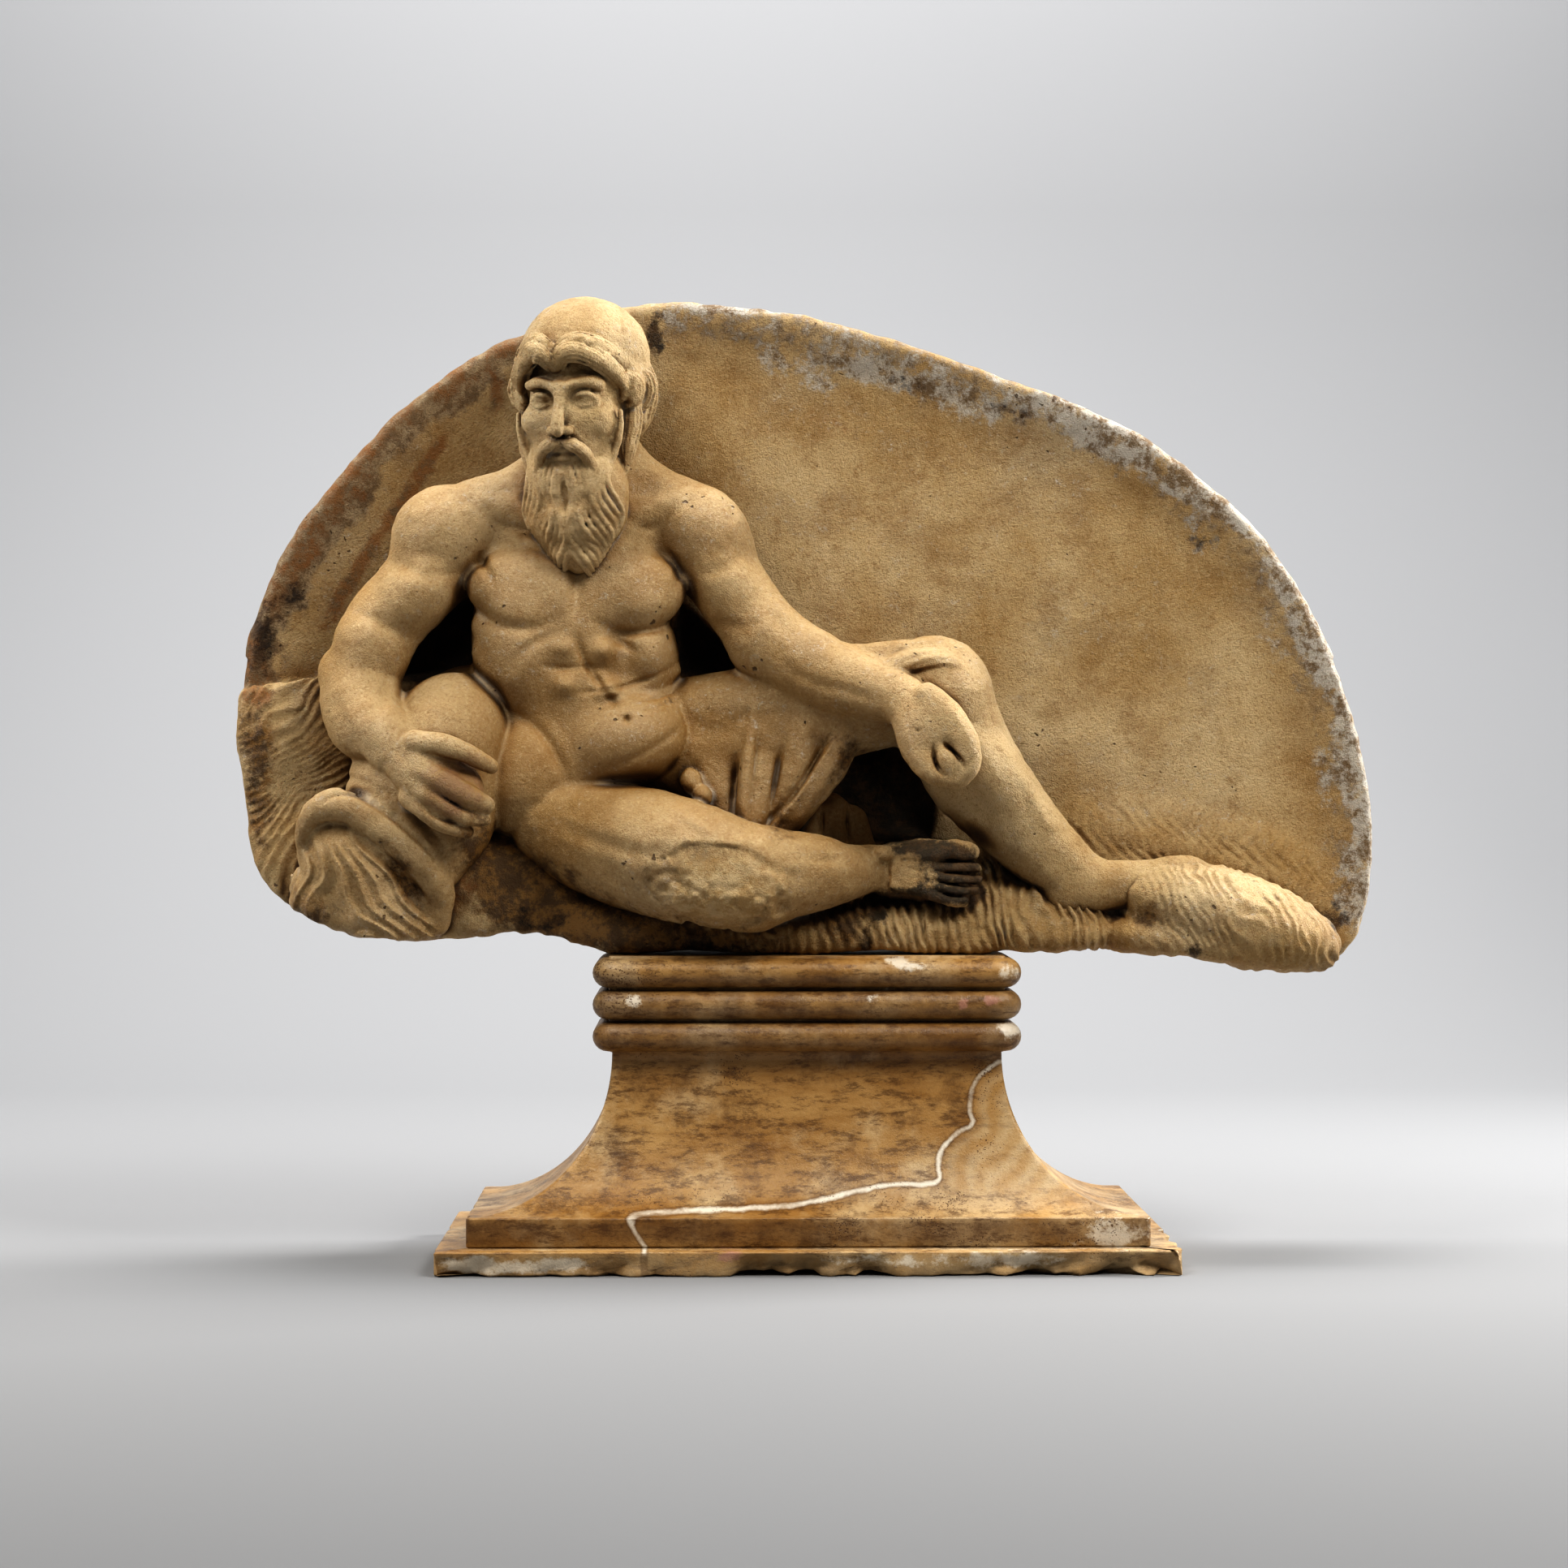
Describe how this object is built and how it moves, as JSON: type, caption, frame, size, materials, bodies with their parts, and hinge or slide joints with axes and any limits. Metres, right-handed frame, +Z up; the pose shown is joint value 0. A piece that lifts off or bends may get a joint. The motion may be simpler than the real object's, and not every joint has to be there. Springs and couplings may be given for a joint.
{
  "type": "marble relief plaque",
  "caption": "Half-moon marble high relief of a reclining bearded river god leaning on a flowing urn, standing on a moulded ochre-stone plinth.",
  "frame": {"origin": "middle of the plinth's underside", "axes": "+Z up, +X to the viewer's right along the long side, -Y towards the viewer in front of the carving"},
  "size_m": [0.716, 0.208, 0.596],
  "materials": {
    "aged_marble": "worn carved marble, waxy on the body, stained brown in the hollows",
    "ochre_stone": "semi-polished veined ochre stone with small pits and chips"
  },
  "bodies": {
    "root": {"river_god_relief": "aged_marble", "moulded_plinth": "ochre_stone"}
  },
  "joints": []
}
